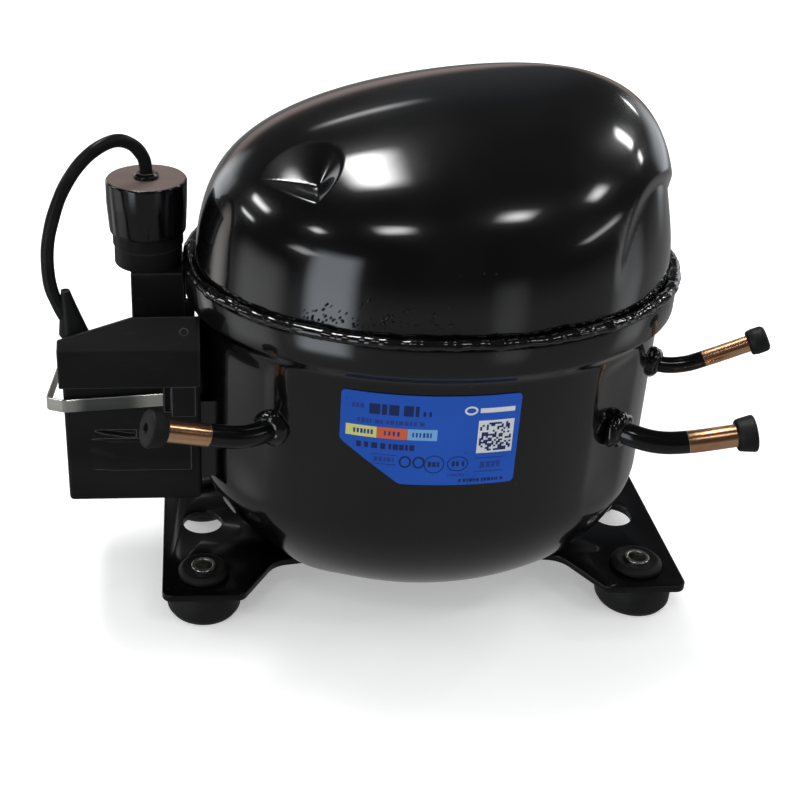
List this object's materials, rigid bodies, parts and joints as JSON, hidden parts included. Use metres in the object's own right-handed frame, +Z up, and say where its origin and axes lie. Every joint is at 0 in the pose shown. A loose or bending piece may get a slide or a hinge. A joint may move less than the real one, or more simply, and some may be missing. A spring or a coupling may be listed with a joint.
{
  "type": "hermetic reciprocating compressor",
  "caption": "Welded black steel refrigeration compressor on rubber feet, with terminal box, run capacitor, copper stubs and a sprung motor-pump inside.",
  "frame": {"origin": "bottom middle of the overall box; the floor plane is the underside of the rubber feet, and the crankshaft's axis and the middle of the feet are at x 11.101 mm, y 0.182 mm", "axes": "+X towards the suction and discharge stubs, -X towards the terminal box; -Y is the side with the rating label; +Z up along the crankshaft"},
  "size_m": [0.2638, 0.1522, 0.1975],
  "materials": {
    "black_enamel": "gloss",
    "black_rubber": "matte",
    "zinc_steel": "zinc plated",
    "copper": "drawn copper",
    "black_moulding": "moulded",
    "glossy_boot": "gloss",
    "label_blue": "printed film",
    "cast_iron": "as cast, machined faces",
    "ground_steel": "ground",
    "lamination_steel": "stacked sheets",
    "enamelled_wire": "varnished copper wire",
    "cast_aluminium": "as cast",
    "spring_steel": "oiled",
    "pale_plastic": "moulded",
    "phenolic": "moulded",
    "gasket_fibre": "matte"
  },
  "bodies": {
    "housing": {"lower_shell": "black_enamel", "upper_shell": "black_enamel", "shell_weld_bead": "black_enamel", "rating_label": "label_blue", "base_plate_left": "black_enamel", "base_plate_right": "black_enamel", "grommet_1": "black_rubber", "grommet_2": "black_rubber", "grommet_3": "black_rubber", "grommet_4": "black_rubber", "mount_sleeve_1": "zinc_steel", "mount_sleeve_2": "zinc_steel", "mount_sleeve_3": "zinc_steel", "mount_sleeve_4": "zinc_steel", "suction_tube": "copper", "process_tube": "copper", "discharge_tube": "copper", "terminal_header": "ground_steel", "terminal_fence": "black_enamel", "spring_seat_1": "ground_steel", "spring_seat_2": "ground_steel", "spring_seat_3": "ground_steel", "spring_seat_4": "ground_steel", "suspension_spring_1": "spring_steel", "suspension_spring_2": "spring_steel", "suspension_spring_3": "spring_steel", "suspension_spring_4": "spring_steel", "discharge_loop": "ground_steel"},
    "pump": {"stator_core": "lamination_steel", "main_winding": "enamelled_wire", "start_winding": "enamelled_wire", "crankcase_block": "cast_iron", "valve_plate": "ground_steel", "head_gasket": "gasket_fibre", "cylinder_head": "cast_aluminium", "head_screw_1": "ground_steel", "head_screw_2": "ground_steel", "head_screw_3": "ground_steel", "head_screw_4": "ground_steel", "suction_muffler": "pale_plastic", "discharge_muffler": "ground_steel"},
    "crank": {"crankshaft": "ground_steel", "rotor": "lamination_steel", "oil_pickup": "ground_steel"},
    "slider": {"slider_block": "cast_iron"},
    "gallery_plug": {"oil_gallery_plug": "cast_aluminium"},
    "piston_and_tube": {"piston": "ground_steel", "slide_tube": "ground_steel"},
    "suction_valve": {"suction_reed": "spring_steel"},
    "discharge_valve": {"discharge_reed": "spring_steel"},
    "cover": {"terminal_cover": "black_moulding", "capacitor_can": "black_moulding", "capacitor_boot": "glossy_boot", "capacitor_cable": "black_moulding"},
    "strap": {"cover_strap": "zinc_steel"},
    "starter": {"ptc_starter": "phenolic"},
    "protector": {"overload_protector": "phenolic"},
    "suction_cap": {"suction_plug": "black_rubber"},
    "process_cap": {"process_plug": "black_rubber"},
    "discharge_cap": {"discharge_plug": "black_rubber"}
  },
  "joints": [
    {"name": "pump_float", "type": "slide", "parent": "housing", "child": "pump", "axis": [0, 0, 1], "range_m": [-0.002, 0.002], "stiffness_N_per_m": 24000, "springref_m": 0.002, "deforming": ["suspension_spring_1", "suspension_spring_2", "suspension_spring_3", "suspension_spring_4", "discharge_loop"]},
    {"name": "crank_spin", "type": "hinge", "parent": "pump", "child": "crank", "pos_m": [0.0111, 0.00018, 0.137], "axis": [0, 0, 1], "continuous": true},
    {"name": "slider_turn", "type": "hinge", "parent": "crank", "child": "slider", "pos_m": [0.0211, 0.00018, 0.137], "axis": [0, 0, 1], "continuous": true},
    {"name": "gallery_plug_turn", "type": "hinge", "parent": "crank", "child": "gallery_plug", "pos_m": [0.0161, 0.00018, 0.137], "axis": [0, 0, 1], "continuous": true},
    {"name": "piston_hold", "type": "hinge", "parent": "gallery_plug", "child": "piston_and_tube", "pos_m": [0.0211, 0.00018, 0.137], "axis": [0, 0, 1], "continuous": true},
    {"name": "suction_reed_lift", "type": "hinge", "parent": "pump", "child": "suction_valve", "pos_m": [0.0641, -0.00882, 0.137], "axis": [0, 0, 1], "range_deg": [0, 2.5]},
    {"name": "discharge_reed_lift", "type": "hinge", "parent": "pump", "child": "discharge_valve", "pos_m": [0.0677, -0.01182, 0.137], "axis": [0, 0, -1], "range_deg": [0, 4]},
    {"name": "cover_pull", "type": "slide", "parent": "housing", "child": "cover", "axis": [-1, 0, 0], "range_m": [0, 0.06]},
    {"name": "strap_pull", "type": "slide", "parent": "cover", "child": "strap", "axis": [-1, 0, 0], "range_m": [0, 0.03]},
    {"name": "starter_pull", "type": "slide", "parent": "housing", "child": "starter", "axis": [-1, 0, 0], "range_m": [0, 0.015]},
    {"name": "protector_pull", "type": "slide", "parent": "housing", "child": "protector", "axis": [-1, 0, 0], "range_m": [0, 0.012]},
    {"name": "suction_plug_pull", "type": "slide", "parent": "housing", "child": "suction_cap", "axis": [0.9699, -0.1065, 0.2191], "range_m": [0, 0.025]},
    {"name": "process_plug_pull", "type": "slide", "parent": "housing", "child": "process_cap", "axis": [-0.8988, -0.3051, 0.3149], "range_m": [0, 0.025]},
    {"name": "discharge_plug_pull", "type": "slide", "parent": "housing", "child": "discharge_cap", "axis": [0.8921, -0.1227, 0.4349], "range_m": [0, 0.025]}
  ],
  "couplings": [
    {"joint": "slider_turn", "follows": "crank_spin", "ratio": -1},
    {"joint": "gallery_plug_turn", "follows": "crank_spin", "ratio": -2},
    {"joint": "piston_hold", "follows": "crank_spin", "ratio": 1}
  ]
}
